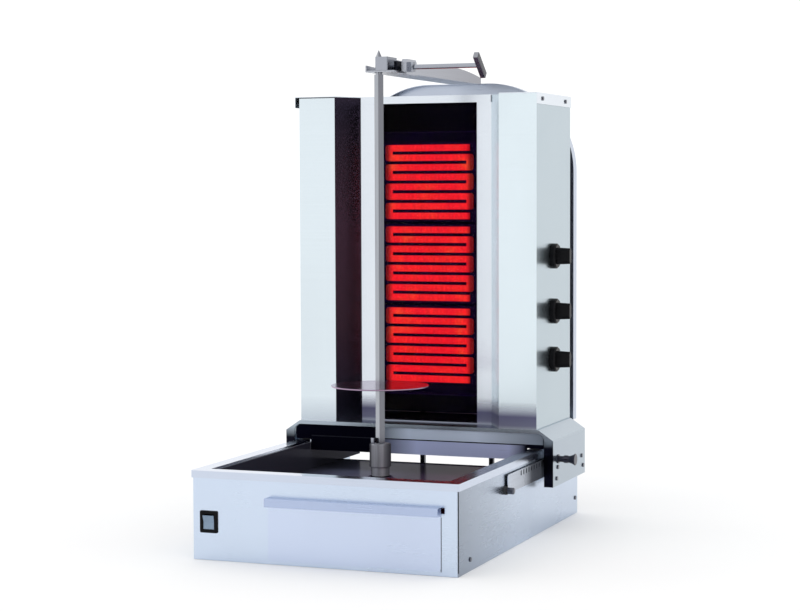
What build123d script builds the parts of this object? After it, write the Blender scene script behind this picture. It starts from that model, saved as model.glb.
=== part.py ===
from build123d import *
import os
from math import cos, hypot, radians, sin

os.makedirs("parts", exist_ok=True)

# ------------------------------------------------------------------ driving dimensions (mm)
# X runs across the grill, +Y to its back, +Z up. The origin is the middle of the base's underside.
BASE_W = 500.0
BASE_D = 724.0
BASE_H = 159.0
SHEET = 1.2
CLEAR = 0.3

HALF_W = BASE_W / 2
FRONT = -BASE_D / 2
BACK = BASE_D / 2

# drip pan, a lid over the base with a sunk well
PAN_OVERHANG = 2.5
SKIRT_H = 13.0
WELL_HALF = 226.0
WELL_FRONT = FRONT + 26
WELL_BACK = 253.0
WELL_FLOOR = 100.0
HUB_R = 50.0
HUB_TOP_R = 22.0
HUB_TOP = 123.0
DRAIN = (58.0, -250.0)
DRAIN_R = 12.0

# drip drawer
DRAWER_X = (-102.8, 219.5)
DRAWER_Z = (7.0, 118.0)
LIP_OUT = 16.0
LIP_H = 15.0
TRAY_X = (-95.0, 211.5)
TRAY_Z = (10.5, 84.0)
TRAY_BACK = -142.0
PANEL_GAP = 0.4

# rocker switch
SWITCH_X = -218.0
SWITCH_Z = 68.3
BEZEL = (34.5, 39.5)
SWITCH_BODY = (26.0, 31.0)
ROCKER = (21.0, 26.0)
TRUNNION_R = 1.5
ROCKER_PIVOT = (FRONT + 5.0, SWITCH_Z)

# skewer axis and drive
AXIS_Y = -88.0
SHAFT_R = 10.0
RUNNING = 0.05
SOCKET_R = 20.0
SOCKET_Z = (141.0, 184.0)
COLLAR_R = 17.0
COLLAR_Z = 124.5
BAR = 12.0
BAR_TURN = -32.3
JOURNAL_R = 6.0
JOURNAL_Z = (866.0, 898.0)
TIP_Z = 910.0
DISC_R = 91.0
DISC_Z = 290.5
DISC_T = 2.5
PIN_R = 3.0
PIN_LEN = 58.0

# carriage that straddles the base
CARR_HALF = 277.5
CARR_Y = (101.0, 321.0)
CARR_Z = 88.5
SHOULDER_Z = 177.0
DECK_HALF = 248.0
DECK_Z = 197.0
PLATE = 2.0
BEAM_Z = 168.6
SPLASH_Z = (139.0, 166.2)
PLUNGER_Y = 134.0
PLUNGER_Z = 139.5

# indexed guide rails on the base sides
RAIL_Y = (-104.5, 238.0)
RAIL_Z = (105.6, 139.7)
RAIL_X = 253.3
SLOT_PITCH = 16.0
SLOT_COUNT = 13
SLOT_FIRST = -26.0
SLOT = (6.0, 9.0)
SLOT_Z = 133.0
STOP_Y = -114.0
STOP_Z = 112.5

# heater tower
TOWER_HALF = 244.5
TOWER_Y = (101.0, 326.0)
TOWER_TOP = 836.0
COLUMN_IN = 169.1
RECESS_HALF = 136.1
RECESS_Y = 156.3
GLASS_HALF = 106.4
GLASS_TOP = 823.0
COVER_TOP = 837.5
COVER_LEFT = 253.0
COVER_RIGHT = 246.2
COVER_SCREWS = (134.0, 287.0)
COVER_SCREW_Z = 826.5

# radiant heating elements, one serpentine in each zone
ZONES = {"upper": 669.6, "middle": 508.6, "lower": 347.6}
COIL_Y = 176.0
COIL_T = 4.0
COIL_PITCH = 19.1
COIL_W = 12.7
COIL_HALF = 84.0
COIL_BARS = 8

# control knobs on the right side
KNOBS = {"upper": 525.0, "middle": 418.0, "lower": 324.0}
KNOB_Y = 208.0
KNOB_R = 24.5

# back posts, rear cover and support arm
POST_X = 75.0
POST_Y = 338.7
POST = 9.0
POST_TOP = 830.0
REAR_Y = (351.0, 373.0)
REAR_BOTTOM = 190.0
ARCH_R = 180.0
ARCH_TOP = 869.5
ARM_X = (-20.0, 36.0)
ARM_Y = (-104.0, 388.0)
ARM_T = 3.0
ARM_FLANGE = 2.0

# upper bearing, a block drawn sideways off the skewer by its T-handled screw
BLOCK_X = (-1.0, 23.5)
BLOCK_Y = (-104.0, -56.0)
BLOCK_TOP = 897.5
SCREW_PAD_Y = (-56.0, -32.0)
CLAMP_X = (36.0, 46.0)
CLAMP_Y = (-66.0, -12.0)
CLAMP_TOP = 895.0
SCREW_Y = -44.0
SCREW_Z = 881.0
SCREW_R = 4.5
SCREW_END = 176.0
TEE = (10.0, 13.0, 57.0)
TEE_TURN = 50.7


# ------------------------------------------------------------------ helpers
def slab(x, y, z, mode=Mode.ADD):
    """Add, or cut, a box given by its spans along X, Y and Z."""
    with Locations(((x[0] + x[1]) / 2, (y[0] + y[1]) / 2, (z[0] + z[1]) / 2)):
        Box(x[1] - x[0], y[1] - y[0], z[1] - z[0], mode=mode)


def rod_x(x, y, z, radius, mode=Mode.ADD):
    """Add, or cut, a cylinder along X between the two x values."""
    with Locations(Location(((x[0] + x[1]) / 2, y, z), (0, 90, 0))):
        Cylinder(radius, abs(x[1] - x[0]), mode=mode)


def rod_y(x, y, z, radius, mode=Mode.ADD):
    """Add, or cut, a cylinder along Y between the two y values."""
    with Locations(Location((x, (y[0] + y[1]) / 2, z), (90, 0, 0))):
        Cylinder(radius, abs(y[1] - y[0]), mode=mode)


def rod_z(x, y, z, radius, mode=Mode.ADD):
    """Add, or cut, a cylinder along Z between the two z values."""
    with Locations((x, y, (z[0] + z[1]) / 2)):
        Cylinder(radius, abs(z[1] - z[0]), mode=mode)


def side_span(side, x):
    """Mirror a span of x to the side given by +1 or -1."""
    return tuple(sorted((side * x[0], side * x[1])))


def finish(piece, label):
    """Name a finished piece and write its STEP file."""
    piece.part.label = label
    export_step(piece.part, f"parts/{label}.step")


# ------------------------------------------------------------------ base
BASE_SCREWS = [(346.0, 32.0), (-300.0, 20.0)]
GLAND = (150.0, 40.0)
GLAND_R = 8.0

with BuildPart() as base_shell:
    slab((-HALF_W, HALF_W), (FRONT, BACK), (0, BASE_H - SHEET))
    front_corners = base_shell.edges().filter_by(Axis.Z).group_by(Axis.Y)[0]
    fillet(front_corners, 3)
    inner = HALF_W - SHEET
    slab((-inner, inner), (FRONT + SHEET, BACK - SHEET), (-1, BASE_H), Mode.SUBTRACT)
    slab((-inner, inner), (BACK - 2 * SHEET, BACK + 1), (78, BASE_H), Mode.SUBTRACT)
    slab((-99, 216), (FRONT - 1, FRONT + 2 * SHEET), (9, 104), Mode.SUBTRACT)
    slab((216, 226), (FRONT - 1, FRONT + 2 * SHEET), (107, 117), Mode.SUBTRACT)
    body_w, body_h = SWITCH_BODY[0] / 2 + CLEAR, SWITCH_BODY[1] / 2 + CLEAR
    slab((SWITCH_X - body_w, SWITCH_X + body_w), (FRONT - 1, FRONT + 2 * SHEET),
         (SWITCH_Z - body_h, SWITCH_Z + body_h), Mode.SUBTRACT)
    rod_y(GLAND[0], (BACK - 4, BACK + 1), GLAND[1], GLAND_R + 0.1, Mode.SUBTRACT)
    for screw_y, screw_z in BASE_SCREWS:
        rod_x((-HALF_W - 1, HALF_W + 1), screw_y, screw_z, 2.2, Mode.SUBTRACT)
finish(base_shell, "base_shell")

with BuildPart() as base_bottom:
    slab((-HALF_W + SHEET, HALF_W - SHEET), (FRONT + SHEET, BACK - SHEET), (0, SHEET))
finish(base_bottom, "base_bottom")

with BuildPart() as base_screws:
    for side in (-1, 1):
        for screw_y, screw_z in BASE_SCREWS:
            rod_x(side_span(side, (HALF_W - 6, HALF_W)), screw_y, screw_z, 2.0)
            rod_x(side_span(side, (HALF_W, HALF_W + 1.8)), screw_y, screw_z, 4.0)
finish(base_screws, "base_screws")

with BuildPart() as drip_pan:
    rim = HALF_W + PAN_OVERHANG
    slab((-rim, rim), (FRONT - PAN_OVERHANG, BACK), (BASE_H - SKIRT_H, BASE_H))
    fillet(drip_pan.edges().filter_by(Axis.Z).group_by(Axis.Y)[0], 4)
    slab((-rim + SHEET, rim - SHEET), (FRONT - PAN_OVERHANG + SHEET, BACK + 1),
         (BASE_H - SKIRT_H - 1, BASE_H - SHEET), Mode.SUBTRACT)
    wall = WELL_HALF + SHEET
    slab((-wall, wall), (WELL_FRONT - SHEET, WELL_BACK), (WELL_FLOOR - SHEET, BASE_H))
    for side in (-1, 1):
        slab(side_span(side, (WELL_HALF, wall)), (WELL_BACK - 1, BACK), (WELL_FLOOR - SHEET, BASE_H))
    slab((-WELL_HALF, WELL_HALF), (WELL_FRONT, WELL_BACK - SHEET), (WELL_FLOOR, BASE_H + 1), Mode.SUBTRACT)
    slab((-WELL_HALF, WELL_HALF), (WELL_BACK - 2 * SHEET, BACK + 1), (WELL_FLOOR + 1.5, BASE_H + 1),
         Mode.SUBTRACT)
    with Locations((0, AXIS_Y, (WELL_FLOOR + HUB_TOP) / 2)):
        Cone(HUB_R, HUB_TOP_R, HUB_TOP - WELL_FLOOR)
    with Locations((0, AXIS_Y, (WELL_FLOOR + HUB_TOP) / 2 - 2 * SHEET)):
        Cone(HUB_R, HUB_TOP_R, HUB_TOP - WELL_FLOOR, mode=Mode.SUBTRACT)
    rod_z(0, AXIS_Y, (WELL_FLOOR - 5, HUB_TOP + 1), HUB_TOP_R - 2, Mode.SUBTRACT)
    rod_z(DRAIN[0], DRAIN[1], (WELL_FLOOR - 9, WELL_FLOOR), DRAIN_R + SHEET)
    rod_z(DRAIN[0], DRAIN[1], (WELL_FLOOR - 10, WELL_FLOOR + 1), DRAIN_R, Mode.SUBTRACT)
finish(drip_pan, "drip_pan")

# gear motor under the hub, standing on a bent bracket
GEARBOX_X = (-45.0, 45.0)
GEARBOX_Y = (-128.0, -48.0)
GEARBOX_Z = (32.0, 92.0)
BRACKET_T = 3.0

with BuildPart() as motor_bracket:
    slab((-56, 56), (-132, -40), (GEARBOX_Z[0] - BRACKET_T, GEARBOX_Z[0]))
    for side in (-1, 1):
        slab(side_span(side, (53, 56)), (-132, -40), (SHEET, GEARBOX_Z[0]))
        slab(side_span(side, (53, 70)), (-132, -40), (SHEET, SHEET + BRACKET_T))
finish(motor_bracket, "motor_bracket")

with BuildPart() as gearbox:
    slab(GEARBOX_X, GEARBOX_Y, GEARBOX_Z)
    fillet(gearbox.edges().filter_by(Axis.Z), 6)
    rod_z(0, AXIS_Y, (70, GEARBOX_Z[1] + 1), SHAFT_R + RUNNING, Mode.SUBTRACT)
finish(gearbox, "gearbox")

with BuildPart() as motor:
    rod_y(0, (GEARBOX_Y[1], 60), 62, 29)
    rod_y(0, (60, 72), 62, 24)
finish(motor, "motor")

with BuildPart() as spindle_bearing:
    rod_z(0, AXIS_Y, (GEARBOX_Z[1], 118), 18)
    rod_z(0, AXIS_Y, (GEARBOX_Z[1], 96), 26)
    rod_z(0, AXIS_Y, (GEARBOX_Z[1] - 1, 119), SHAFT_R + RUNNING, Mode.SUBTRACT)
finish(spindle_bearing, "spindle_bearing")

with BuildPart() as cable_gland:
    rod_y(GLAND[0], (BACK - 12, BACK), GLAND[1], GLAND_R)
    rod_y(GLAND[0], (BACK - 8, BACK - SHEET), GLAND[1], 13)
    rod_y(GLAND[0], (BACK, BACK + 5), GLAND[1], 13)
    rod_y(GLAND[0], (BACK + 5, BACK + 10), GLAND[1], 10)
    fillet(cable_gland.edges().filter_by(GeomType.CIRCLE).group_by(Axis.Y)[-1], 3)
    rod_y(GLAND[0], (BACK - 13, BACK + 11), GLAND[1], 4, Mode.SUBTRACT)
finish(cable_gland, "cable_gland")

with BuildPart() as back_posts:
    for side in (-1, 1):
        post_x = side * POST_X
        slab((post_x - POST / 2, post_x + POST / 2), (POST_Y - POST / 2, POST_Y + POST / 2), (SHEET, POST_TOP))
        slab((post_x - 14, post_x + 14), (POST_Y - 14, POST_Y + 14), (SHEET, SHEET + 4))
finish(back_posts, "back_posts")

# ------------------------------------------------------------------ indexed guide rails
with BuildPart() as guide_rails:
    for side in (-1, 1):
        slab(side_span(side, (RAIL_X, RAIL_X + SHEET)), RAIL_Y, RAIL_Z)
        slab(side_span(side, (HALF_W, RAIL_X)), RAIL_Y, (RAIL_Z[0], RAIL_Z[0] + SHEET))
        for slot in range(SLOT_COUNT):
            slot_y = SLOT_FIRST + slot * SLOT_PITCH
            slab(side_span(side, (RAIL_X - 1, RAIL_X + 3)), (slot_y - SLOT[0] / 2, slot_y + SLOT[0] / 2),
                 (SLOT_Z - SLOT[1] / 2, SLOT_Z + SLOT[1] / 2), Mode.SUBTRACT)
    front_corners = guide_rails.edges().filter_by(Axis.X).group_by(Axis.Y)[0].group_by(Axis.Z)[-1]
    chamfer(front_corners, 2)
finish(guide_rails, "guide_rails")

with BuildPart() as stop_bolts:
    for side in (-1, 1):
        rod_x(side_span(side, (HALF_W, 258)), STOP_Y, STOP_Z, 3.5)
        rod_x(side_span(side, (258, 270)), STOP_Y, STOP_Z, 6)
    fillet(stop_bolts.edges().filter_by(GeomType.CIRCLE).group_by(Axis.X)[-1], 2.5)
    fillet(stop_bolts.edges().filter_by(GeomType.CIRCLE).group_by(Axis.X)[0], 2.5)
finish(stop_bolts, "stop_bolts")

with BuildPart() as stop_rings:
    for side in (-1, 1):
        rod_x(side_span(side, (HALF_W, 256.5)), STOP_Y, STOP_Z, 7.5)
        rod_x(side_span(side, (HALF_W - 1, 258)), STOP_Y, STOP_Z, 3.5, Mode.SUBTRACT)
finish(stop_rings, "stop_rings")

# ------------------------------------------------------------------ drip drawer
PANEL_Y = (FRONT - PANEL_GAP - SHEET, FRONT - PANEL_GAP)

with BuildPart() as drawer_front:
    slab(DRAWER_X, PANEL_Y, DRAWER_Z)
    bottom_corners = drawer_front.edges().filter_by(Axis.Y).group_by(Axis.Z)[0]
    fillet(bottom_corners, 6)
    slab(DRAWER_X, (PANEL_Y[0] - LIP_OUT, PANEL_Y[0]), (DRAWER_Z[1] - SHEET, DRAWER_Z[1]))
    slab(DRAWER_X, (PANEL_Y[0] - LIP_OUT, PANEL_Y[0] - LIP_OUT + SHEET), (DRAWER_Z[1] - LIP_H, DRAWER_Z[1]))
    lip_edge = drawer_front.edges().filter_by(Axis.X).group_by(Axis.Y)[0].sort_by(Axis.Z)[-1]
    fillet(lip_edge, 1.2)
finish(drawer_front, "drawer_front")

with BuildPart() as drawer_tray:
    slab(TRAY_X, (PANEL_Y[1], TRAY_BACK), TRAY_Z)
    slab((TRAY_X[0] + SHEET, TRAY_X[1] - SHEET), (PANEL_Y[1] + SHEET, TRAY_BACK - SHEET),
         (TRAY_Z[0] + SHEET, TRAY_Z[1] + 1), Mode.SUBTRACT)
finish(drawer_tray, "drawer_tray")

with BuildPart() as drawer_runners:
    for outer, inner in ((TRAY_X[0] - 3.3, TRAY_X[0] + 10), (TRAY_X[1] + 3.3, TRAY_X[1] - 10)):
        toward = 1 if inner > outer else -1
        lip = tuple(sorted((outer, inner)))
        web = tuple(sorted((outer, outer + toward * SHEET)))
        slab(web, (FRONT + 4, TRAY_BACK), (SHEET, 40))
        slab(lip, (FRONT + 4, TRAY_BACK), (TRAY_Z[0] - CLEAR - SHEET, TRAY_Z[0] - CLEAR))
finish(drawer_runners, "drawer_runners")

# ------------------------------------------------------------------ rocker switch
with BuildPart() as switch_housing:
    slab((SWITCH_X - BEZEL[0] / 2, SWITCH_X + BEZEL[0] / 2), (FRONT - 3, FRONT),
         (SWITCH_Z - BEZEL[1] / 2, SWITCH_Z + BEZEL[1] / 2))
    fillet(switch_housing.edges().filter_by(Axis.Y), 2.5)
    chamfer(switch_housing.faces().sort_by(Axis.Y)[0].edges(), 1)
    slab((SWITCH_X - SWITCH_BODY[0] / 2, SWITCH_X + SWITCH_BODY[0] / 2), (FRONT, FRONT + 26),
         (SWITCH_Z - SWITCH_BODY[1] / 2, SWITCH_Z + SWITCH_BODY[1] / 2))
    slab((SWITCH_X - ROCKER[0] / 2 - 0.5, SWITCH_X + ROCKER[0] / 2 + 0.5), (FRONT - 4, FRONT + 16),
         (SWITCH_Z - ROCKER[1] / 2 - 0.8, SWITCH_Z + ROCKER[1] / 2 + 0.8), Mode.SUBTRACT)
    rod_x((SWITCH_X - 12, SWITCH_X + 12), ROCKER_PIVOT[0], ROCKER_PIVOT[1], TRUNNION_R + RUNNING, Mode.SUBTRACT)
finish(switch_housing, "switch_housing")

# the rocker is a shallow V in side view, tilted about its trunnions
ROCKER_TILT = 8.0
ROCKER_PROFILE = [(3, 8), (-6.5, 12.6), (-8.5, 12.2), (-6.2, 0), (-8.5, -12.2), (-6.5, -12.6), (3, -8)]


def rocker_point(depth, height):
    """Turn a point of the rocker's side profile by its resting tilt."""
    angle = radians(ROCKER_TILT)
    return (ROCKER_PIVOT[0] + depth * cos(angle) - height * sin(angle),
            ROCKER_PIVOT[1] + depth * sin(angle) + height * cos(angle))


with BuildPart() as rocker:
    with BuildSketch(Plane.YZ.offset(SWITCH_X - ROCKER[0] / 2)):
        with BuildLine():
            Polyline([rocker_point(*point) for point in ROCKER_PROFILE], close=True)
        make_face()
    extrude(amount=ROCKER[0])
    rod_x((SWITCH_X - 11.7, SWITCH_X + 11.7), ROCKER_PIVOT[0], ROCKER_PIVOT[1], TRUNNION_R)
finish(rocker, "rocker")

# ------------------------------------------------------------------ carriage
SIDE_SCREWS = [(131.7, 124.2), (124.5, 103.0), (296.8, 125.4), (306.3, 105.1)]


def portal_outline(inset_side, inset_top):
    """Corner points of the carriage's open profile, from right foot to left foot."""
    side = CARR_HALF - inset_side
    top = DECK_Z - inset_top
    shoulder = SHOULDER_Z + (1.0 if inset_side > PLATE else 0.0)
    deck = DECK_HALF - (2.5 if inset_side > PLATE else 0.6 * inset_side)
    right = [(side, CARR_Z), (side, shoulder), (deck, top)]
    return right + [(-x, z) for x, z in reversed(right)]


def portal_band(inset_side, inset_top):
    """Closed outline between the outer profile and one set in from it."""
    return portal_outline(0, 0) + list(reversed(portal_outline(inset_side, inset_top)))


# the end flanges leave a window with rounded upper corners
WINDOW_R = 14.0
window_x = CARR_HALF - 18.0 - WINDOW_R
window_z = DECK_Z - 7.0 - WINDOW_R
corner = [(window_x + WINDOW_R * cos(radians(a)), window_z + WINDOW_R * sin(radians(a))) for a in range(0, 91, 15)]
window = [(CARR_HALF - 18.0, CARR_Z)] + corner
window += [(-x, z) for x, z in reversed(window)]

with BuildPart() as portal:
    with BuildSketch(Plane.XZ.offset(-CARR_Y[1])):
        with BuildLine():
            Polyline(portal_band(PLATE, PLATE), close=True)
        make_face()
    extrude(amount=CARR_Y[1] - CARR_Y[0])
    for flange_y in (CARR_Y[0] + PLATE, CARR_Y[1]):
        with BuildSketch(Plane.XZ.offset(-flange_y)):
            with BuildLine():
                Polyline(portal_outline(0, 0) + list(reversed(window)), close=True)
            make_face()
        extrude(amount=PLATE)
    for screw_y, screw_z in SIDE_SCREWS:
        rod_x((-CARR_HALF - 1, -CARR_HALF + 4), screw_y, screw_z, 2.2, Mode.SUBTRACT)
        rod_x((CARR_HALF - 4, CARR_HALF + 1), screw_y, screw_z, 2.2, Mode.SUBTRACT)
    rod_x((CARR_HALF - 4, CARR_HALF + 1), PLUNGER_Y, PLUNGER_Z, 5.8, Mode.SUBTRACT)
finish(portal, "portal")

CROSS_PANEL = [(-257, BEAM_Z), (257, BEAM_Z), (257, 182), (246, 194), (-246, 194), (-257, 182)]

for panel_y, name in ((CARR_Y[0] + PLATE, "beam_panel"), (CARR_Y[1] - 2 * PLATE, "carriage_rear_panel")):
    with BuildPart() as cross_panel:
        with BuildSketch(Plane.XZ.offset(-panel_y - PLATE)):
            with BuildLine():
                Polyline(CROSS_PANEL, close=True)
            make_face()
        extrude(amount=PLATE)
        if name == "carriage_rear_panel":
            for side in (-1, 1):
                slab(side_span(side, (226, 257)), (panel_y, panel_y + PLATE), (BASE_H + 2, BEAM_Z))
    finish(cross_panel, name)

with BuildPart() as splash_panel:
    splash_y = CARR_Y[0] + PLATE
    slab((-224.5, 224.5), (splash_y, splash_y + PLATE), SPLASH_Z)
    slab((-224.5, 224.5), (splash_y + PLATE, splash_y + 2 * PLATE), (SPLASH_Z[1] - 12, BEAM_Z + 8))
    for side in (-1, 1):
        slab(side_span(side, (224, 257)), (splash_y + PLATE, splash_y + 2 * PLATE), (BASE_H + 2, BEAM_Z + 8))
finish(splash_panel, "splash_panel")

with BuildPart() as glide_blocks:
    for side in (-1, 1):
        for block_y in (130, 290):
            slab(side_span(side, (230, 246)), (block_y - 20, block_y + 20), (BASE_H + CLEAR, DECK_Z - PLATE))
finish(glide_blocks, "glide_blocks")

with BuildPart() as carriage_screws:
    for side in (-1, 1):
        for screw_y, screw_z in SIDE_SCREWS:
            rod_x(side_span(side, (CARR_HALF - 7, CARR_HALF)), screw_y, screw_z, 2.0)
            rod_x(side_span(side, (CARR_HALF, CARR_HALF + 2)), screw_y, screw_z, 4.0)
        cover_x = COVER_RIGHT if side > 0 else COVER_LEFT
        for screw_y in COVER_SCREWS:
            rod_x(side_span(side, (cover_x - SHEET, cover_x)), screw_y, COVER_SCREW_Z, 2.0)
            rod_x(side_span(side, (cover_x, cover_x + 2)), screw_y, COVER_SCREW_Z, 4.0)
finish(carriage_screws, "carriage_screws")

# index plunger: a fixed sleeve, and a pin with a flared knob that is pulled out
SLEEVE_X = (266.0, 296.0)
KNOB_X = (290.0, 312.5)
BORE_END = 303.0
NOSE_X = (258.0, 262.0)

with BuildPart() as plunger_sleeve:
    rod_x(SLEEVE_X, PLUNGER_Y, PLUNGER_Z, 5.8)
    rod_x((CARR_HALF - PLATE - 4, CARR_HALF - PLATE), PLUNGER_Y, PLUNGER_Z, 9)
    rod_x((CARR_HALF, CARR_HALF + 2), PLUNGER_Y, PLUNGER_Z, 8.5)
    rod_x((SLEEVE_X[0] - 1, SLEEVE_X[1] + 1), PLUNGER_Y, PLUNGER_Z, 2.3, Mode.SUBTRACT)
finish(plunger_sleeve, "plunger_sleeve")

with BuildPart() as plunger_pin:
    with BuildSketch(Plane.XZ.offset(-PLUNGER_Y)):
        with BuildLine():
            Polyline((KNOB_X[0], PLUNGER_Z), (KNOB_X[0], PLUNGER_Z + 7.4), (KNOB_X[0] + 7, PLUNGER_Z + 7.4))
            Line((KNOB_X[0] + 7, PLUNGER_Z + 7.4), (KNOB_X[0] + 7.6, PLUNGER_Z + 6.6))
            Line((KNOB_X[0] + 7.6, PLUNGER_Z + 6.6), (KNOB_X[0] + 10, PLUNGER_Z + 6.6))
            Spline((KNOB_X[0] + 10, PLUNGER_Z + 6.6), (KNOB_X[0] + 16, PLUNGER_Z + 8.4),
                   (KNOB_X[1] - 1, PLUNGER_Z + 11.5))
            Line((KNOB_X[1] - 1, PLUNGER_Z + 11.5), (KNOB_X[1], PLUNGER_Z + 10.5))
            Polyline((KNOB_X[1], PLUNGER_Z + 10.5), (KNOB_X[1], PLUNGER_Z), (KNOB_X[0], PLUNGER_Z))
        make_face()
    revolve(axis=Axis((0, PLUNGER_Y, PLUNGER_Z), (1, 0, 0)))
    rod_x((KNOB_X[0] - 1, BORE_END), PLUNGER_Y, PLUNGER_Z, 6, Mode.SUBTRACT)
    rod_x((NOSE_X[1], BORE_END + 1), PLUNGER_Y, PLUNGER_Z, 2.25)
    slab((NOSE_X[1], NOSE_X[1] + 2.5), (PLUNGER_Y - 4, PLUNGER_Y + 4), (129, PLUNGER_Z + 2))
    slab(NOSE_X, (PLUNGER_Y - 2.5, PLUNGER_Y + 2.5), (129.5, 136.5))
finish(plunger_pin, "plunger_pin")

# ------------------------------------------------------------------ tower
wing_run = (RECESS_HALF - COLUMN_IN, RECESS_Y - TOWER_Y[0])
wing_len = hypot(*wing_run)
wing_normal = (wing_run[1] / wing_len * SHEET, -wing_run[0] / wing_len * SHEET)
fold_x = COLUMN_IN + wing_normal[0] + wing_run[0] * (SHEET - wing_normal[1]) / wing_run[1]
COLUMN_PROFILE = [
    (TOWER_HALF, TOWER_Y[1]), (TOWER_HALF, TOWER_Y[0]), (COLUMN_IN, TOWER_Y[0]), (RECESS_HALF, RECESS_Y),
    (RECESS_HALF + wing_normal[0], RECESS_Y + wing_normal[1]), (fold_x, TOWER_Y[0] + SHEET),
    (TOWER_HALF - SHEET, TOWER_Y[0] + SHEET), (TOWER_HALF - SHEET, TOWER_Y[1])]

for side, name in ((-1, "left"), (1, "right")):
    with BuildPart() as column:
        with BuildSketch(Plane.XY.offset(DECK_Z)):
            with BuildLine():
                Polyline([(side * x, y) for x, y in COLUMN_PROFILE], close=True)
            make_face()
        extrude(amount=TOWER_TOP - DECK_Z)
        if side > 0:
            for knob_z in KNOBS.values():
                rod_x((TOWER_HALF - 3, TOWER_HALF + 1), KNOB_Y, knob_z, 5, Mode.SUBTRACT)
    finish(column, f"column_{name}")

with BuildPart() as tower_back:
    back_half = TOWER_HALF - SHEET
    slab((-back_half, back_half), (TOWER_Y[1] - SHEET, TOWER_Y[1]), (DECK_Z, TOWER_TOP))
    for louvre_z in (260, 275, 290, 305):
        for louvre_x in (-200, 140):
            slab((louvre_x, louvre_x + 60), (TOWER_Y[1] - 3, TOWER_Y[1] + 1),
                 (louvre_z, louvre_z + 5), Mode.SUBTRACT)
finish(tower_back, "tower_back")

with BuildPart() as glass_frame:
    slab((-RECESS_HALF, RECESS_HALF), (RECESS_Y, RECESS_Y + SHEET), (DECK_Z, TOWER_TOP))
    slab((-GLASS_HALF, GLASS_HALF), (RECESS_Y - 1, RECESS_Y + 3), (DECK_Z + 2, GLASS_TOP), Mode.SUBTRACT)
finish(glass_frame, "glass_frame")

with BuildPart() as glass_panel:
    slab((-GLASS_HALF - 6, GLASS_HALF + 6), (RECESS_Y + SHEET, RECESS_Y + SHEET + 4), (DECK_Z, GLASS_TOP + 6))
finish(glass_panel, "glass_panel")

with BuildPart() as heater_tray:
    slab((-118, 118), (166, 208), (250, 768))
    slab((-116.5, 116.5), (165, 206.5), (251.5, 766.5), Mode.SUBTRACT)
finish(heater_tray, "heater_tray")

with BuildPart() as insulation_boards:
    for zone_z in ZONES.values():
        slab((-110, 110), (COIL_Y + COIL_T, 206.5), (zone_z - 78, zone_z + 78))
finish(insulation_boards, "insulation_boards")

for name, zone_z in ZONES.items():
    with BuildPart() as element:
        for bar in range(COIL_BARS):
            bar_z = zone_z + ((COIL_BARS - 1) / 2 - bar) * COIL_PITCH
            slab((-COIL_HALF, COIL_HALF), (COIL_Y, COIL_Y + COIL_T), (bar_z - COIL_W / 2, bar_z + COIL_W / 2))
            if bar < COIL_BARS - 1:
                link = side_span(-1 if bar % 2 == 0 else 1, (COIL_HALF - 6, COIL_HALF + 7.5))
                slab(link, (COIL_Y, COIL_Y + COIL_T), (bar_z - COIL_PITCH - COIL_W / 2, bar_z + COIL_W / 2))
        link_ends = element.edges().filter_by(Axis.Y).filter_by(lambda e: abs(e.center().X) > COIL_HALF + 7)
        fillet(link_ends, 5)
    finish(element, f"heating_element_{name}")

with BuildPart() as top_cover:
    cover_front = TOWER_Y[0] - 2.5
    with BuildSketch(Plane.XY.offset(TOWER_TOP)):
        with BuildLine():
            Polyline([(-COVER_LEFT, cover_front), (-COLUMN_IN - 1, cover_front),
                      (-RECESS_HALF, RECESS_Y - 1.6), (RECESS_HALF, RECESS_Y - 1.6),
                      (COLUMN_IN + 1, cover_front), (COVER_RIGHT, cover_front),
                      (COVER_RIGHT, TOWER_Y[1]), (-COVER_LEFT, TOWER_Y[1])], close=True)
        make_face()
    extrude(amount=COVER_TOP - TOWER_TOP)
    slab((COVER_RIGHT - SHEET, COVER_RIGHT), (cover_front, TOWER_Y[1]), (816, COVER_TOP))
    slab((-COVER_LEFT, -COVER_LEFT + SHEET), (cover_front, TOWER_Y[1]), (816, COVER_TOP))
    slab((-RECESS_HALF + 0.8, RECESS_HALF - 0.8), (RECESS_Y - 1.6, RECESS_Y - 0.1), (GLASS_TOP, COVER_TOP))
    for screw_y in COVER_SCREWS:
        rod_x((COVER_RIGHT - 3, COVER_RIGHT + 1), screw_y, COVER_SCREW_Z, 2.0, Mode.SUBTRACT)
        rod_x((-COVER_LEFT - 1, -COVER_LEFT + 3), screw_y, COVER_SCREW_Z, 2.0, Mode.SUBTRACT)
finish(top_cover, "top_cover")

# ------------------------------------------------------------------ rear cover and arm, on the back posts
STANDOFFS = [(x, z) for x in (-POST_X, POST_X) for z in (260, 780)]

ARCH_X = TOWER_HALF - ARCH_R
ARCH_Z = ARCH_TOP - ARCH_R

with BuildPart() as rear_cover:
    for inset, mode in ((0, Mode.ADD), (SHEET, Mode.SUBTRACT)):
        side = TOWER_HALF - inset
        with BuildSketch(Plane.XZ.offset(inset - REAR_Y[1])):
            with BuildLine():
                Line((-side, REAR_BOTTOM + inset), (side, REAR_BOTTOM + inset))
                Line((side, REAR_BOTTOM + inset), (side, ARCH_Z))
                CenterArc((ARCH_X, ARCH_Z), ARCH_R - inset, 0, 90)
                Line((ARCH_X, ARCH_TOP - inset), (-ARCH_X, ARCH_TOP - inset))
                CenterArc((-ARCH_X, ARCH_Z), ARCH_R - inset, 90, 90)
                Line((-side, ARCH_Z), (-side, REAR_BOTTOM + inset))
            make_face()
        extrude(amount=REAR_Y[1] - REAR_Y[0], mode=mode)
    for stud_x, stud_z in STANDOFFS:
        rod_y(stud_x, (REAR_Y[1] - 3, REAR_Y[1] + 1), stud_z, 3.2, Mode.SUBTRACT)
finish(rear_cover, "rear_cover")

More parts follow.
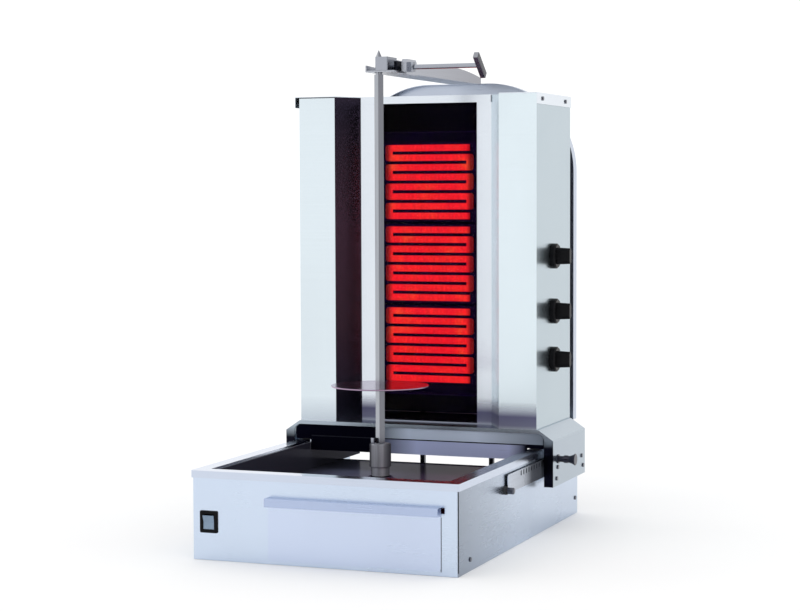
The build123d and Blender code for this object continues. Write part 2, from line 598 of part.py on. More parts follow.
with BuildPart() as rear_standoffs:
    for stud_x, stud_z in STANDOFFS:
        rod_y(stud_x, (POST_Y + POST / 2, REAR_Y[1] - SHEET), stud_z, 7)
        rod_y(stud_x, (REAR_Y[1] - SHEET, REAR_Y[1]), stud_z, 3)
        rod_y(stud_x, (REAR_Y[1], REAR_Y[1] + 2.5), stud_z, 6)
finish(rear_standoffs, "rear_standoffs")

arm_top = ARCH_TOP + ARM_T
flange_front = (-38, arm_top + 1)
flange_crest = (225, arm_top + 23)
flange_rear = (ARM_Y[1], arm_top + 10.5)

with BuildPart() as arm_bracket:
    slab((-14, 30), (REAR_Y[1], REAR_Y[1] + 4), (770, ARCH_TOP))
    slab((-14, 30), (REAR_Y[1] + 4, ARM_Y[1] - 1), (ARCH_TOP - 4, ARCH_TOP))
    for gusset_x in (-14, 27):
        slab((gusset_x, gusset_x + 3), (REAR_Y[1] + 4, ARM_Y[1] - 1), (835, ARCH_TOP - 4))
finish(arm_bracket, "arm_bracket")

with BuildPart() as support_arm:
    slab(ARM_X, ARM_Y, (ARCH_TOP, arm_top))
    with BuildSketch(Plane.YZ.offset(ARM_X[0])):
        with BuildLine():
            Polyline((ARM_Y[0], ARCH_TOP), (ARM_Y[0], arm_top + 9.5), (-44, arm_top + 7.5),
                     (ARM_Y[1], arm_top + 7.5), (ARM_Y[1], ARCH_TOP), (ARM_Y[0], ARCH_TOP))
        make_face()
    extrude(amount=ARM_FLANGE)
    with BuildSketch(Plane.YZ.offset(ARM_X[1] - ARM_FLANGE)):
        with BuildLine():
            ThreePointArc(flange_front, flange_crest, flange_rear)
            Polyline(flange_rear, (ARM_Y[1], ARCH_TOP), (flange_front[0], ARCH_TOP), flange_front)
        make_face()
    extrude(amount=ARM_FLANGE)
    rod_z(0, AXIS_Y, (ARCH_TOP - 1, arm_top + 1), 9, Mode.SUBTRACT)
finish(support_arm, "support_arm")

# ------------------------------------------------------------------ upper bearing and its screw
block_bottom = arm_top + CLEAR

with BuildPart() as bearing_block:
    slab(BLOCK_X, BLOCK_Y, (block_bottom, BLOCK_TOP))
    fillet(bearing_block.edges().filter_by(Axis.Z), 1.5)
    slab((4, BLOCK_X[1]), SCREW_PAD_Y, (block_bottom, BLOCK_TOP - 4))
    slab((BLOCK_X[0] - 9, 0), (AXIS_Y - JOURNAL_R - RUNNING, AXIS_Y + JOURNAL_R + RUNNING),
         (block_bottom - 1, BLOCK_TOP + 1), Mode.SUBTRACT)
    rod_z(0, AXIS_Y, (block_bottom - 1, BLOCK_TOP + 1), JOURNAL_R + RUNNING, Mode.SUBTRACT)
    rod_x((9, BLOCK_X[1] + 1), SCREW_Y, SCREW_Z, SCREW_R + RUNNING, Mode.SUBTRACT)
finish(bearing_block, "bearing_block")

with BuildPart() as clamp_plate:
    slab(CLAMP_X, CLAMP_Y, (ARCH_TOP - 3, CLAMP_TOP))
    chamfer(clamp_plate.edges().filter_by(Axis.X).group_by(Axis.Z)[-1], 5)
    rod_x((CLAMP_X[0] - 1, CLAMP_X[1] + 1), SCREW_Y, SCREW_Z, SCREW_R + RUNNING, Mode.SUBTRACT)
finish(clamp_plate, "clamp_plate")

with BuildPart() as clamp_nut:
    with BuildSketch(Plane.YZ.offset(CLAMP_X[1])):
        with Locations((SCREW_Y, SCREW_Z)):
            RegularPolygon(10.5, 6)
            Circle(SCREW_R + RUNNING, mode=Mode.SUBTRACT)
    extrude(amount=7)
finish(clamp_nut, "clamp_nut")

with BuildPart() as clamp_screw:
    rod_x((9.5, SCREW_END), SCREW_Y, SCREW_Z, SCREW_R)
    chamfer(clamp_screw.edges().group_by(Axis.X)[0], 1)
finish(clamp_screw, "clamp_screw")

with BuildPart() as clamp_handle:
    with Locations(Location((SCREW_END + TEE[0] / 2, SCREW_Y, SCREW_Z), (TEE_TURN, 0, 0))):
        Box(*TEE)
    fillet(clamp_handle.edges(), 1.2)
finish(clamp_handle, "clamp_handle")

# ------------------------------------------------------------------ skewer and its drive
with BuildPart() as output_shaft:
    rod_z(0, AXIS_Y, (72, SOCKET_Z[0]), SHAFT_R)
finish(output_shaft, "output_shaft")

with BuildPart() as skewer_socket:
    rod_z(0, AXIS_Y, SOCKET_Z, SOCKET_R)
    chamfer(skewer_socket.edges().filter_by(GeomType.CIRCLE), 1)
    rod_z(0, AXIS_Y, (COLLAR_Z, SOCKET_Z[0]), COLLAR_R)
    rod_z(0, AXIS_Y, (COLLAR_Z - 1, SOCKET_Z[0]), SHAFT_R, Mode.SUBTRACT)
    with BuildSketch(Plane.XY.offset(150)):
        with Locations(Location((0, AXIS_Y, 0), BAR_TURN)):
            Rectangle(BAR + 0.1, BAR + 0.1)
    extrude(amount=50, mode=Mode.SUBTRACT)
finish(skewer_socket, "skewer_socket")

with BuildPart() as socket_lug:
    with Locations(Location((-13, AXIS_Y - 5, SOCKET_Z[1] + 5), (0, 0, BAR_TURN))):
        Box(9, 3, 10)
    fillet(socket_lug.edges().filter_by(Axis.Z), 1)
finish(socket_lug, "socket_lug")

pin_z = DISC_Z - PIN_R - CLEAR
pin_turn = radians(BAR_TURN + 90)
pin_plane = Plane(origin=(0, AXIS_Y, pin_z), z_dir=(cos(pin_turn), sin(pin_turn), 0))

with BuildPart() as skewer:
    with BuildSketch(Plane.XY.offset(150)):
        with Locations(Location((0, AXIS_Y, 0), BAR_TURN)):
            Rectangle(BAR, BAR)
    extrude(amount=JOURNAL_Z[0] - 150)
    rod_z(0, AXIS_Y, JOURNAL_Z, JOURNAL_R)
    with BuildSketch(Plane.XY.offset(JOURNAL_Z[1])):
        with Locations(Location((0, AXIS_Y, 0), BAR_TURN)):
            Rectangle(BAR - 4, BAR - 4)
    with BuildSketch(Plane.XY.offset(TIP_Z)):
        with Locations(Location((0, AXIS_Y, 0), BAR_TURN)):
            Rectangle(1, 1)
    loft()
    with Locations(pin_plane):
        Cylinder(PIN_R + 0.02, BAR + 4, mode=Mode.SUBTRACT)
finish(skewer, "skewer")

with BuildPart() as cross_pin:
    with Locations(pin_plane):
        Cylinder(PIN_R, PIN_LEN)
    fillet(cross_pin.edges(), 0.8)
finish(cross_pin, "cross_pin")

with BuildPart() as meat_disc:
    rod_z(0, AXIS_Y, (DISC_Z, DISC_Z + DISC_T), DISC_R)
    fillet(meat_disc.edges(), 0.8)
    with BuildSketch(Plane.XY.offset(DISC_Z - 1)):
        with Locations(Location((0, AXIS_Y, 0), BAR_TURN)):
            Rectangle(BAR + 0.8, BAR + 0.8)
    extrude(amount=DISC_T + 2, mode=Mode.SUBTRACT)
finish(meat_disc, "meat_disc")

# ------------------------------------------------------------------ energy regulators and knobs
with BuildPart() as regulators:
    for knob_z in KNOBS.values():
        slab((200, TOWER_HALF - SHEET), (KNOB_Y - 20, KNOB_Y + 20), (knob_z - 24, knob_z + 24))
        rod_x((199, TOWER_HALF), KNOB_Y, knob_z, 3.05, Mode.SUBTRACT)
finish(regulators, "regulators")

for name, knob_z in KNOBS.items():
    with BuildPart() as shaft:
        rod_x((205, 262), KNOB_Y, knob_z, 3)
    finish(shaft, f"knob_shaft_{name}")

    with BuildPart() as knob:
        rod_x((TOWER_HALF + 0.8, TOWER_HALF + 10.5), KNOB_Y, knob_z, KNOB_R)
        chamfer(knob.edges().filter_by(GeomType.CIRCLE).group_by(Axis.X)[-1], 2.5)
        with BuildSketch(Plane.YZ.offset(TOWER_HALF + 10.5)):
            with Locations((KNOB_Y, knob_z)):
                SlotOverall(33, 17, rotation=90)
        extrude(amount=25, taper=3)
        fillet(knob.faces().sort_by(Axis.X)[-1].edges(), 2)
        rod_x((TOWER_HALF, 262), KNOB_Y, knob_z, 3, Mode.SUBTRACT)
    finish(knob, f"knob_{name}")
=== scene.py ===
import math

import bmesh
import bpy
from mathutils import Matrix, Vector


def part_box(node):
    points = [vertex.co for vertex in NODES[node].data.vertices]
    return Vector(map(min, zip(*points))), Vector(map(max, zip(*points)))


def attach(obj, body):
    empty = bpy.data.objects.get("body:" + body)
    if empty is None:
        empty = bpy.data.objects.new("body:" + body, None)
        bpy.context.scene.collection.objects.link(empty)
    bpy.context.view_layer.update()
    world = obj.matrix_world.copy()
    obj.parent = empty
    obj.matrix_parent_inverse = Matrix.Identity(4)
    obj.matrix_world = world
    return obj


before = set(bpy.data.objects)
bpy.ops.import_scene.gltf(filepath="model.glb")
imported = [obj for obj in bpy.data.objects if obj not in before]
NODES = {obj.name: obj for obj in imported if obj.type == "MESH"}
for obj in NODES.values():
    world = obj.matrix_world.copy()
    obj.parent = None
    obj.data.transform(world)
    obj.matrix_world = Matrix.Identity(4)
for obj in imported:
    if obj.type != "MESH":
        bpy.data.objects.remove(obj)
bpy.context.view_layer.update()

# ------------------------------------------------------------------ places from the frame, in metres
BASE_LO, BASE_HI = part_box("base_shell")
PAN_LO, PAN_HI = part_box("drip_pan")
DRAWER_LO, DRAWER_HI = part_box("drawer_front")
RAIL_LO, RAIL_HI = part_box("guide_rails")
PORTAL_LO, PORTAL_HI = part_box("portal")
BEAM_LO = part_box("beam_panel")[0]
LEFT_LO, LEFT_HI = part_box("column_left")
TOWER_LO, TOWER_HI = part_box("column_right")
SOCKET_LO, SOCKET_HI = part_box("skewer_socket")
JAW_LO, JAW_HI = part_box("bearing_block")
SHELL_TOP = PAN_HI.z - 0.012

# ------------------------------------------------------------------ sizes of the looks, in metres
DRAWER_FOLD = 0.016
FOOT_SHADE_HEIGHT = 0.052
RIM_INSET = 0.006
SIDE_SHADE_FADE = 0.34
FOLD_RADIUS = 0.0006
FOLD_ANGLE = 50
BEAM_LINE_HALF = 0.224
WING_FRONT_WIDTH = 0.076
JAW_STRIP_THICKNESS = 0.0028

# How fine the brushed grain is along X, Y and Z: small numbers give long lines.
LEVEL_FINE = (3, 3, 700)
LEVEL = (3, 3, 500)
RIM_GRAIN = (3, 500, 500)
ALONG_Y = (300, 3, 300)
UPRIGHT = (300, 300, 6)
SOCKET_GRAIN = (200, 200, 8)
DULL_GRAIN = (60, 60, 60)
DISC_GRAIN = (90, 90, 90)
TURNED_GRAIN = (120, 120, 120)
FINE_GRAIN = (260, 260, 260)
PLAIN = (1, 1, 1)

# A Mix node set to colours has its two colours and its result at these places.
MIX_FIRST, MIX_SECOND, MIX_RESULT = 6, 7, 2


# ------------------------------------------------------------------ helpers: node materials
def new_material(name):
    """A material with an empty node tree, its Principled shader and its output."""
    mat = bpy.data.materials.new(name)
    mat.use_nodes = True
    nodes = mat.node_tree.nodes
    nodes.clear()
    shader = nodes.new("ShaderNodeBsdfPrincipled")
    output = nodes.new("ShaderNodeOutputMaterial")
    mat.node_tree.links.new(shader.outputs["BSDF"], output.inputs["Surface"])
    return mat, mat.node_tree, shader


def coords(tree, scale):
    """Object coordinates in metres, scaled per axis."""
    source = tree.nodes.new("ShaderNodeTexCoord")
    mapping = tree.nodes.new("ShaderNodeMapping")
    mapping.inputs["Scale"].default_value = scale
    tree.links.new(source.outputs["Object"], mapping.inputs["Vector"])
    return mapping.outputs["Vector"]


def noise(tree, vector, scale, detail=4.0, rough=0.6):
    node = tree.nodes.new("ShaderNodeTexNoise")
    node.inputs["Scale"].default_value = scale
    node.inputs["Detail"].default_value = detail
    node.inputs["Roughness"].default_value = rough
    tree.links.new(vector, node.inputs["Vector"])
    return node.outputs["Fac"]


def ramp(tree, value, stops):
    """A colour ramp over a value: stops are (position, colour)."""
    node = tree.nodes.new("ShaderNodeValToRGB")
    elements = node.color_ramp.elements
    while len(elements) < len(stops):
        elements.new(0.5)
    for element, (position, colour) in zip(elements, stops):
        element.position = position
        element.color = (*colour, 1)
    tree.links.new(value, node.inputs["Fac"])
    return node.outputs["Color"]


def remap(tree, value, low, high, to_low, to_high):
    """The value's place between low and high, carried over to another range and kept inside it."""
    node = tree.nodes.new("ShaderNodeMapRange")
    node.inputs["From Min"].default_value = low
    node.inputs["From Max"].default_value = high
    node.inputs["To Min"].default_value = to_low
    node.inputs["To Max"].default_value = to_high
    tree.links.new(value, node.inputs["Value"])
    return node.outputs["Result"]


def bump(tree, shader, height, strength, distance):
    node = tree.nodes.new("ShaderNodeBump")
    node.inputs["Strength"].default_value = strength
    node.inputs["Distance"].default_value = distance
    tree.links.new(height, node.inputs["Height"])
    tree.links.new(node.outputs["Normal"], shader.inputs["Normal"])


def maths(tree, operation, first, second):
    """One maths node; either input may be a number or a socket."""
    node = tree.nodes.new("ShaderNodeMath")
    node.operation = operation
    for socket, value in zip(node.inputs, (first, second)):
        if isinstance(value, (int, float)):
            socket.default_value = value
        else:
            tree.links.new(value, socket)
    return node.outputs["Value"]


def coordinate(tree, kind, axis):
    """One axis of a texture coordinate: Object is the place in metres, Normal the surface's own normal."""
    source = tree.nodes.new("ShaderNodeTexCoord")
    split = tree.nodes.new("ShaderNodeSeparateXYZ")
    tree.links.new(source.outputs[kind], split.inputs["Vector"])
    return split.outputs[axis]


def axis_value(tree, axis):
    """Object-space position along one axis, in metres."""
    return coordinate(tree, "Object", axis)


def facing(tree, axis):
    """1 where the surface normal points along an axis, 0 elsewhere; "-Y" is backwards along Y."""
    low, high = (-0.4, -0.8) if axis[0] == "-" else (0.4, 0.8)
    return remap(tree, coordinate(tree, "Normal", axis[-1]), low, high, 0.0, 1.0)


def darkened(tree, colour, factor, tint):
    """Mix a colour towards a tint by a factor socket. The tint is a colour or a function that makes one."""
    node = tree.nodes.new("ShaderNodeMix")
    node.data_type = "RGBA"
    tree.links.new(factor, node.inputs["Factor"])
    tree.links.new(colour, node.inputs[MIX_FIRST])
    if isinstance(tint, tuple):
        node.inputs[MIX_SECOND].default_value = (*tint, 1)
    else:
        tree.links.new(tint(tree), node.inputs[MIX_SECOND])
    return node.outputs[MIX_RESULT]


def scaled(tone, factor):
    return tuple(channel * factor for channel in tone)


def shade_amount(tree, shade, within):
    """How much of a shade a point takes, by its place along the shade's axis."""
    axis, start, end, stops, _ = shade
    place = remap(tree, axis_value(tree, axis), start, end, 0.0, 1.0)
    amount = ramp(tree, place, [(position, (value, value, value)) for position, value in stops])
    if within:
        half_width, front = within
        across = maths(tree, "ABSOLUTE", axis_value(tree, "X"), 0.0)
        amount = maths(tree, "MULTIPLY", amount, maths(tree, "LESS_THAN", across, half_width))
        behind = maths(tree, "GREATER_THAN", axis_value(tree, "Y"), front)
        amount = maths(tree, "MULTIPLY", amount, behind)
    return amount


def steel(name, grain, tone, rough=0.22, spread=0.03, streak=0.025, metal=1.0, shade=None, within=None,
          face=None):
    """Brushed sheet steel: grain stretches the noise along X, Y and Z.

    shade = (axis, start, end, stops, tint) paints shade and reflections into the piece by place and makes it
    less metallic there: stops are (position, amount).
    within = (half width, front) keeps the shade inside those X and Y limits.
    face = (normal, tint, axis, start, end, first, last) paints shade and reflections onto the faces that
    way, by an amount that goes from first to last along an axis."""
    mat, tree, shader = new_material(name)
    shader.inputs["Specular IOR Level"].default_value = 0.0
    shader.inputs["Metallic"].default_value = metal
    fine = noise(tree, coords(tree, grain), 1.0, 2.0, 0.6)
    cloud = noise(tree, coords(tree, PLAIN), 7.0, 3.0, 0.55)
    smudge = noise(tree, coords(tree, (1, 1, 0.5)), 7.0, 1.5, 0.5)
    colour = ramp(tree, fine, [(0.25, scaled(tone, 1 - streak)), (0.75, tone)])
    colour = darkened(tree, colour, remap(tree, smudge, 0.4, 0.8, 0.0, 0.16), scaled(tone, 0.7))
    painted_side_amount = None
    if face:
        normal, painted_side_tint, along, near, far, first, last = face
        painted_side_amount = maths(tree, "MULTIPLY", facing(tree, normal),
                       remap(tree, axis_value(tree, along), near, far, first, last))
    if shade:
        amount = shade_amount(tree, shade, within)
        if painted_side_amount:
            amount = maths(tree, "MULTIPLY", amount, maths(tree, "SUBTRACT", 1.0, painted_side_amount))
        colour = darkened(tree, colour, amount, shade[-1])
        # Where shade is painted the metal is turned down too, so those places stop reflecting the bright
        # world.
        less_metal = maths(tree, "SUBTRACT", metal, maths(tree, "MULTIPLY", amount, metal * 0.88))
        tree.links.new(less_metal, shader.inputs["Metallic"])
    if painted_side_amount:
        colour = darkened(tree, colour, painted_side_amount, painted_side_tint)
    tree.links.new(colour, shader.inputs["Base Color"])
    spread_fine = remap(tree, fine, 0.2, 0.8, rough - spread / 2, rough + spread / 2)
    tree.links.new(maths(tree, "ADD", spread_fine, remap(tree, cloud, 0.3, 0.7, -0.02, 0.03)),
                   shader.inputs["Roughness"])
    bump(tree, shader, fine, 0.012, 0.00003)
    return mat


def evenly(normal, tint, amount):
    """steel's face setting for painted shade: one tint by one amount all over the faces that way."""
    return normal, tint, "Z", 0.0, 1.0, amount, amount


def plastic(name, tone, rough, grain_scale=900.0, strength=0.15):
    mat, tree, shader = new_material(name)
    speck = noise(tree, coords(tree, PLAIN), grain_scale, 2.0, 0.5)
    cloud = noise(tree, coords(tree, PLAIN), 30.0, 3.0, 0.5)
    high = tuple(min(1.0, c * 1.25 + 0.003) for c in tone)
    tree.links.new(ramp(tree, cloud, [(0.3, tone), (0.7, high)]), shader.inputs["Base Color"])
    tree.links.new(remap(tree, cloud, 0.3, 0.7, rough - 0.04, rough + 0.05), shader.inputs["Roughness"])
    bump(tree, shader, speck, strength, 0.0001)
    return mat


def principled(mat):
    return mat.node_tree.nodes["Principled BSDF"]


def assign(names, mat):
    for name in names:
        obj = NODES[name]
        obj.data.materials.clear()
        obj.data.materials.append(mat)


# ------------------------------------------------------------------ materials: base and drawer
# Painted shade: the base's side faces are darker near the front edge, fading out towards the back.
base_steel = steel("base_steel", LEVEL_FINE, (0.62, 0.71, 0.85), 0.26,
                   face=("X", (0.20, 0.23, 0.28), "Y", BASE_LO.y, BASE_LO.y + SIDE_SHADE_FADE, 0.75, 0.16))
side_steel = steel("side_steel", LEVEL_FINE, (0.52, 0.57, 0.67), 0.28)
# Painted shade: the drawer's folded lip above the fold line is drawn darker and bluer.
drawer_steel = steel("drawer_steel", LEVEL_FINE, (0.60, 0.68, 0.85), 0.24,
                     shade=("Z", DRAWER_HI.z - DRAWER_FOLD - 0.001, DRAWER_HI.z - DRAWER_FOLD,
                            [(0.0, 0.0), (1.0, 0.4)], (0.22, 0.30, 0.52)))


def pan_painted_reflection(tree):
    """Painted reflection on the drip pan's floor: dark bluish on the left, red glow of the heater on the
    right.
    """
    across = remap(tree, axis_value(tree, "X"), PAN_LO.x, PAN_HI.x, 0.0, 1.0)
    return ramp(tree, across, [(0.04, (0.012, 0.010, 0.020)), (0.22, (0.085, 0.090, 0.155)),
                               (0.5, (0.034, 0.018, 0.050)), (0.75, (0.065, 0.008, 0.036)),
                               (0.92, (0.170, 0.008, 0.056))])


# Painted shade and reflection: below the rim the pan's inner walls and floor take the painted reflection and
# lose most of their metal.
rim_steel = steel("rim_steel", RIM_GRAIN, (0.60, 0.66, 0.78), 0.16, 0.04,
                  shade=("Z", PAN_HI.z - 0.006, PAN_HI.z - 0.003, [(0.0, 0.97), (1.0, 0.0)], pan_painted_reflection),
                  within=(BASE_HI.x - RIM_INSET, BASE_LO.y + RIM_INSET))
# Painted shade and reflection: the guide rails grow near-black towards the back.
rail_steel = steel("rail_steel", ALONG_Y, (0.54, 0.59, 0.68), 0.2, streak=0.15,
                   shade=("Y", RAIL_LO.y, RAIL_HI.y, [(0.0, 0.0), (0.25, 0.2), (0.42, 0.85), (1.0, 1.0)],
                          (0.010, 0.010, 0.016)))

# ------------------------------------------------------------------ materials: carriage and tower
# Painted shade and dark reflection: a dark purple band along the foot, used on the column and on the glass
# frame.
FOOT_SHADE = ("Z", TOWER_LO.z, TOWER_LO.z + FOOT_SHADE_HEIGHT,
              [(0.0, 0.55), (0.12, 0.85), (0.45, 0.92), (0.68, 0.45), (1.0, 0.0)], (0.070, 0.065, 0.150))
# Painted shade: the column's side faces are a darker tone than its front.
column_steel = steel("column_steel", LEVEL_FINE, (0.72, 0.81, 0.86), 0.24, shade=FOOT_SHADE,
                     face=evenly("X", (0.44, 0.52, 0.57), 1.0))


def wing_painted_reflection(tree):
    """Painted reflection on the mirror-like left wing: dark from the black glass, a little red beside the
    elements.
    """
    up = remap(tree, axis_value(tree, "Z"), TOWER_LO.z, TOWER_HI.z, 0.0, 1.0)
    return ramp(tree, up, [(0.05, (0.022, 0.016, 0.030)), (0.30, (0.050, 0.024, 0.034)),
                           (0.60, (0.062, 0.028, 0.042)), (0.80, (0.040, 0.022, 0.032)),
                           (0.98, (0.024, 0.018, 0.030))])


# Painted shade at the wing's foot, and the painted reflection on its faces turned along X.
wing_steel = steel("wing_steel", LEVEL_FINE, (0.70, 0.78, 0.83), 0.16, 0.03,
                   shade=("Z", TOWER_LO.z, TOWER_LO.z + 0.05, [(0.0, 0.3), (1.0, 0.0)], (0.16, 0.20, 0.32)),
                   face=("X", wing_painted_reflection, "Z", TOWER_LO.z, TOWER_LO.z + 0.1, 0.97, 1.0))
frame_steel = steel("frame_steel", LEVEL, (0.72, 0.77, 0.83), 0.2, shade=FOOT_SHADE)
cover_steel = steel("cover_steel", LEVEL_FINE, (0.72, 0.77, 0.83), 0.2)
# Painted reflection: the portal's front faces go near-black below their top edge.
portal_steel = steel("portal_steel", LEVEL, (0.39, 0.455, 0.52), 0.24,
                     face=("-Y", (0.006, 0.006, 0.012), "Z", PORTAL_HI.z - 0.010, PORTAL_HI.z - 0.034,
                           0.05, 1.0))
# Painted reflection: the beam and splash panels are near-black over their left part and at the right,
# lighter in the middle.
beam_steel = steel("beam_steel", LEVEL, (0.70, 0.82, 1.0), 0.3, metal=0.25,
                   shade=("X", PORTAL_LO.x, PORTAL_HI.x,
                          [(0.0, 1.0), (0.34, 1.0), (0.47, 0.12), (0.72, 0.15), (0.90, 0.66), (1.0, 0.9)],
                          (0.002, 0.002, 0.006)))
splash_steel = steel("splash_steel", LEVEL, (0.58, 0.66, 0.98), 0.3, metal=0.25,
                     shade=("X", PORTAL_LO.x, PORTAL_HI.x,
                            [(0.0, 1.0), (0.36, 1.0), (0.50, 0.1), (0.84, 0.25), (0.90, 1.0)],
                            (0.002, 0.002, 0.006)))
# Painted shade: the tower back's front faces, inside the tower, are near-black navy.
back_steel = steel("back_steel", DULL_GRAIN, (0.20, 0.21, 0.24), 0.42, 0.12, 0.2, metal=0.3,
                   face=evenly("-Y", (0.004, 0.003, 0.020), 1.0))
# Painted shade: the heater tray's deep navy tone stands in for the shade inside the tower.
tray_steel = steel("tray_steel", DULL_GRAIN, (0.010, 0.006, 0.050), 0.6, 0.12, 0.2, metal=0.0)

# ------------------------------------------------------------------ materials: arm, skewer and small metal
# Painted shade: the arm's faces turned along X darken towards the back.
arm_steel = steel("arm_steel", ALONG_Y, (0.42, 0.44, 0.49), 0.2, streak=0.15,
                  face=("X", (0.20, 0.20, 0.23), "Y", 0.02, 0.36, 0.2, 0.75))
disc_steel = steel("disc_steel", DISC_GRAIN, (0.40, 0.29, 0.41), 0.14, 0.08, 0.1)
dull_steel = steel("dull_steel", DULL_GRAIN, (0.20, 0.21, 0.24), 0.42, 0.12, 0.2)
post_steel = steel("post_steel", UPRIGHT, (0.05, 0.055, 0.07), 0.35, 0.1, 0.2)
# Painted shade: the faces turned along X are a darker tone.
bright_steel = steel("bright_steel", TURNED_GRAIN, (0.36, 0.38, 0.43), 0.16, 0.06,
                     face=evenly("X", (0.16, 0.17, 0.20), 0.8))
# Painted shade: the handle's faces turned along X are near-black.
tee_steel = steel("tee_steel", TURNED_GRAIN, (0.30, 0.31, 0.34), 0.2, 0.06,
                  face=evenly("X", (0.03, 0.03, 0.04), 1.0))
plunger_steel = steel("plunger_steel", FINE_GRAIN, (0.045, 0.045, 0.060), 0.16, 0.1, 0.15)
screw_steel = steel("screw_steel", FINE_GRAIN, (0.12, 0.125, 0.15), 0.2, 0.1, 0.15)
# Painted reflection: the socket has dark and light bands across its width, like reflections round a
# cylinder.
socket_steel = steel("socket_steel", SOCKET_GRAIN, (0.60, 0.62, 0.68), 0.22, 0.06, 0.3, metal=0.5,
                     shade=("X", SOCKET_LO.x, SOCKET_HI.x,
                            [(0.0, 0.95), (0.16, 0.9), (0.30, 0.15), (0.46, 0.0), (0.58, 0.55), (0.72, 0.05),
                             (0.86, 0.7), (1.0, 0.95)], (0.03, 0.03, 0.04)))
# Painted shade: the skewer bar's faces turned along X are darker.
bar_steel = steel("bar_steel", UPRIGHT, (0.42, 0.44, 0.48), 0.18, 0.08, 0.2,
                  face=evenly("X", (0.11, 0.11, 0.13), 0.7))

# ------------------------------------------------------------------ materials: plastics, rubber and paint
black_plastic = plastic("black_plastic", (0.004, 0.004, 0.005), 0.16)
rocker_plastic = plastic("rocker_plastic", (0.17, 0.24, 0.33), 0.25)
rubber = plastic("rubber", (0.012, 0.012, 0.013), 0.6, 400, 0.4)
motor_paint = plastic("motor_paint", (0.03, 0.032, 0.035), 0.4)
# Painted shade: the insulation boards' deep navy tone stands in for the shade inside the tower.
insulation = plastic("insulation", (0.007, 0.003, 0.034), 0.95, 300, 0.6)
principled(insulation).inputs["IOR"].default_value = 1.05
# Painted shade: the dark material of the thin strips below.
gap_shade_dark = plastic("gap_shade_dark", (0.010, 0.011, 0.018), 0.5)
for material in (black_plastic, gap_shade_dark):
    principled(material).inputs["Specular IOR Level"].default_value = 0.06


# ------------------------------------------------------------------ materials: heater
def glowing(name):
    """Red-hot element: uneven along its length, dim at its ends, with a fine pattern of brighter dots."""
    mat, tree, shader = new_material(name)
    spots = noise(tree, coords(tree, PLAIN), 26.0, 2.0, 0.5)
    dots = tree.nodes.new("ShaderNodeTexVoronoi")
    dots.inputs["Scale"].default_value = 260.0
    tree.links.new(coords(tree, PLAIN), dots.inputs["Vector"])
    colour = ramp(tree, spots, [(0.40, (0.95, 0.008, 0.020)), (0.60, (1.0, 0.022, 0.018)),
                                (0.72, (1.0, 0.070, 0.022))])
    tree.links.new(colour, shader.inputs["Emission Color"])
    ends = maths(tree, "ABSOLUTE", axis_value(tree, "X"), 0.0)
    level = remap(tree, ends, 0.077, 0.087, 1.0, 0.16)
    bands = noise(tree, coords(tree, (420, 1, 30)), 1.0, 1.0, 0.5)
    spot = maths(tree, "MULTIPLY", remap(tree, dots.outputs["Distance"], 0.1, 0.7, 1.1, 0.88),
                 remap(tree, bands, 0.3, 0.7, 0.86, 1.1))
    tree.links.new(maths(tree, "MULTIPLY", level, spot), shader.inputs["Emission Strength"])
    shader.inputs["Base Color"].default_value = (0.05, 0.004, 0.004, 1)
    shader.inputs["Roughness"].default_value = 0.9
    return mat


def ceramic_glass():
    """Dark heat-resistant glass that lets the red of the elements through."""
    mat, tree, shader = new_material("ceramic_glass")
    film = noise(tree, coords(tree, PLAIN), 14.0, 3.0, 0.5)
    tree.links.new(ramp(tree, film, [(0.3, (0.86, 0.62, 0.74)), (0.7, (0.93, 0.70, 0.82))]),
                   shader.inputs["Base Color"])
    tree.links.new(remap(tree, film, 0.3, 0.7, 0.02, 0.04), shader.inputs["Roughness"])
    shader.inputs["Transmission Weight"].default_value = 1.0
    shader.inputs["IOR"].default_value = 1.07
    return mat


# ------------------------------------------------------------------ which piece has which material
assign(["base_shell"], base_steel)
assign(["drawer_front"], drawer_steel)
assign(["drip_pan"], rim_steel)
assign(["column_right"], column_steel)
assign(["column_left"], wing_steel)
assign(["portal"], portal_steel)
assign(["beam_panel"], beam_steel)
assign(["splash_panel"], splash_steel)
assign(["glass_frame"], frame_steel)
assign(["top_cover"], cover_steel)
assign(["rear_cover", "arm_bracket", "drawer_tray"], side_steel)
assign(["support_arm", "clamp_plate"], arm_steel)
assign(["guide_rails"], rail_steel)
assign(["meat_disc"], disc_steel)
assign(["base_bottom", "motor_bracket", "drawer_runners", "carriage_rear_panel"], dull_steel)
assign(["tower_back"], back_steel)
assign(["heater_tray"], tray_steel)
assign(["back_posts"], post_steel)
assign(["base_screws", "stop_bolts", "carriage_screws", "rear_standoffs", "spindle_bearing", "output_shaft",
        "knob_shaft_upper", "knob_shaft_middle", "knob_shaft_lower"], screw_steel)
assign(["plunger_sleeve", "plunger_pin"], plunger_steel)
assign(["clamp_handle"], tee_steel)
assign(["bearing_block", "clamp_nut", "clamp_screw", "socket_lug", "cross_pin"], bright_steel)
assign(["skewer_socket"], socket_steel)
assign(["skewer"], bar_steel)
assign(["cable_gland", "switch_housing", "regulators", "knob_upper", "knob_middle", "knob_lower"],
       black_plastic)
assign(["rocker"], rocker_plastic)
assign(["stop_rings", "glide_blocks"], rubber)
assign(["gearbox", "motor"], motor_paint)
assign(["insulation_boards"], insulation)
assign(["heating_element_upper", "heating_element_middle", "heating_element_lower"],
       glowing("glowing_element"))
assign(["glass_panel"], ceramic_glass())


# ------------------------------------------------------------------ folded edges and small painted shade strips
def soften(names, width):
    """A small rounded edge on folded and machined pieces."""
    for name in names:
        modifier = NODES[name].modifiers.new("edge", "BEVEL")
        modifier.width = width
        modifier.segments = 2
        modifier.limit_method = "ANGLE"
        modifier.angle_limit = math.radians(FOLD_ANGLE)
        modifier.harden_normals = False


